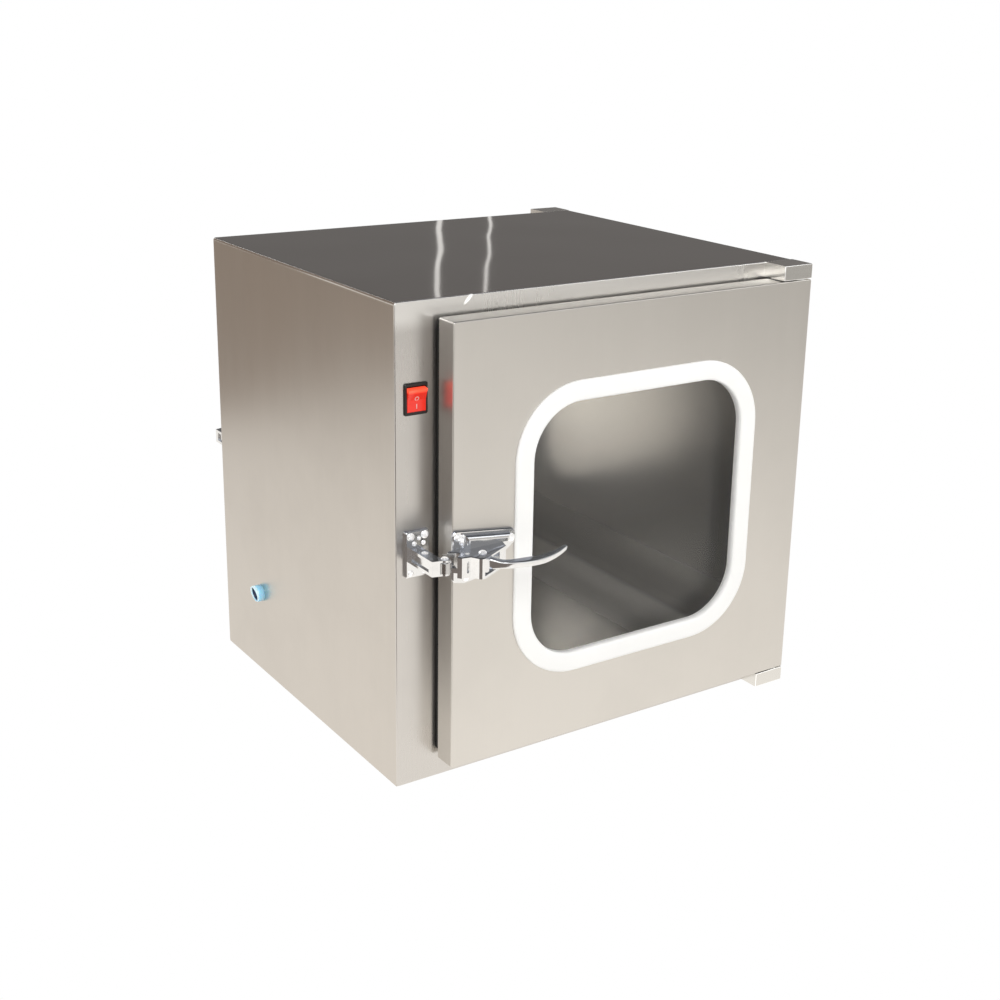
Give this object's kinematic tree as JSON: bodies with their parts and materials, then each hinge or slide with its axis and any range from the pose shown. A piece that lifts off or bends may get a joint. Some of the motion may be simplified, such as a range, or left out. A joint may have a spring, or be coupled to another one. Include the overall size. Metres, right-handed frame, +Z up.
{
  "type": "cleanroom pass box",
  "caption": "Stainless cleanroom pass box with a through chamber, hinged glazed doors front and rear, roller latches, a rocker switch and a germicidal lamp.",
  "frame": {"origin": "middle of the cabinet's underside", "axes": "+Z up; the front door faces -Y; the doors hinge on the +X side and latch on the -X side"},
  "size_m": [0.514, 0.581, 0.5],
  "materials": {
    "cabinet_steel": "fine satin brushing, slightly wavy sheet",
    "frame_steel": "fine satin brushing",
    "chamber_steel": "bright annealed, smooth",
    "door_steel": "fine satin brushing",
    "mirror_chrome": "polished",
    "roller_steel": "turned",
    "pin_steel": "ground",
    "white_rubber": "satin silicone",
    "black_rubber": "matt",
    "glass": "clear toughened",
    "black_plastic": "satin",
    "red_plastic": "gloss, translucent",
    "blue_plastic": "translucent",
    "white_plastic": "satin",
    "lamp_glass": "clear quartz tube, taken as a closed solid"
  },
  "bodies": {
    "cabinet": {"outer_wrap": "cabinet_steel", "base_pan": "cabinet_steel", "front_frame": "frame_steel", "rear_frame": "frame_steel", "chamber_liner": "chamber_steel", "switch_body": "black_plastic", "cable_bush": "blue_plastic", "lamp_channel": "chamber_steel", "lamp_sockets": "white_plastic", "lamp_tube": "lamp_glass", "ballast": "black_plastic", "front_hinge_bracket_top": "frame_steel", "front_hinge_bracket_bottom": "frame_steel", "front_hinge_pin_top": "pin_steel", "front_hinge_pin_bottom": "pin_steel", "front_strike_plate": "mirror_chrome", "front_strike_arm": "mirror_chrome", "front_roller_pin": "mirror_chrome", "rear_hinge_bracket_top": "frame_steel", "rear_hinge_bracket_bottom": "frame_steel", "rear_hinge_pin_top": "pin_steel", "rear_hinge_pin_bottom": "pin_steel", "rear_strike_plate": "mirror_chrome", "rear_strike_arm": "mirror_chrome", "rear_roller_pin": "mirror_chrome"},
    "front_door": {"front_door_pan": "door_steel", "front_door_inner": "door_steel", "front_window_gasket": "white_rubber", "front_glass_outer": "glass", "front_glass_inner": "glass", "front_door_seal": "black_rubber", "front_pivot_bush_top": "white_plastic", "front_pivot_bush_bottom": "white_plastic", "front_latch_base": "mirror_chrome", "front_latch_housing": "mirror_chrome", "front_lever_pin": "mirror_chrome", "front_hook_pin": "pin_steel"},
    "front_lever": {"front_lever": "mirror_chrome"},
    "front_hook": {"front_hook": "roller_steel"},
    "front_roller": {"front_roller": "roller_steel"},
    "rear_door": {"rear_door_pan": "door_steel", "rear_door_inner": "door_steel", "rear_window_gasket": "white_rubber", "rear_glass_outer": "glass", "rear_glass_inner": "glass", "rear_door_seal": "black_rubber", "rear_pivot_bush_top": "white_plastic", "rear_pivot_bush_bottom": "white_plastic", "rear_latch_base": "mirror_chrome", "rear_latch_housing": "mirror_chrome", "rear_lever_pin": "mirror_chrome", "rear_hook_pin": "pin_steel"},
    "rear_lever": {"rear_lever": "mirror_chrome"},
    "rear_hook": {"rear_hook": "roller_steel"},
    "rear_roller": {"rear_roller": "roller_steel"},
    "switch_rocker": {"switch_rocker": "red_plastic"}
  },
  "joints": [
    {"name": "front_door_hinge", "type": "hinge", "parent": "cabinet", "child": "front_door", "pos_m": [0.238, -0.232, 0.02], "axis": [0, 0, 1], "range_deg": [0, 180]},
    {"name": "front_lever_pull", "type": "hinge", "parent": "front_door", "child": "front_lever", "pos_m": [-0.1875, -0.268, 0.2505], "axis": [0, 0, -1], "range_deg": [0, 35], "stiffness_Nm_per_rad": 0.6, "springref_deg": -11.46},
    {"name": "front_hook_turn", "type": "hinge", "parent": "front_door", "child": "front_hook", "pos_m": [-0.201, -0.262, 0.2505], "axis": [0, 0, 1], "range_deg": [0, 24]},
    {"name": "front_roller_spin", "type": "hinge", "parent": "cabinet", "child": "front_roller", "pos_m": [-0.223, -0.2565, 0.2505], "axis": [0, 0, 1], "continuous": true},
    {"name": "rear_door_hinge", "type": "hinge", "parent": "cabinet", "child": "rear_door", "pos_m": [0.238, 0.232, 0.02], "axis": [0, 0, -1], "range_deg": [0, 180]},
    {"name": "rear_lever_pull", "type": "hinge", "parent": "rear_door", "child": "rear_lever", "pos_m": [-0.1875, 0.268, 0.2505], "axis": [0, 0, 1], "range_deg": [0, 35], "stiffness_Nm_per_rad": 0.6, "springref_deg": -11.46},
    {"name": "rear_hook_turn", "type": "hinge", "parent": "rear_door", "child": "rear_hook", "pos_m": [-0.201, 0.262, 0.2505], "axis": [0, 0, -1], "range_deg": [0, 24]},
    {"name": "rear_roller_spin", "type": "hinge", "parent": "cabinet", "child": "rear_roller", "pos_m": [-0.223, 0.2565, 0.2505], "axis": [0, 0, 1], "continuous": true},
    {"name": "switch_rock", "type": "hinge", "parent": "cabinet", "child": "switch_rocker", "pos_m": [-0.22775, -0.208, 0.406], "axis": [-1, 0, 0], "range_deg": [0, 20]}
  ]
}
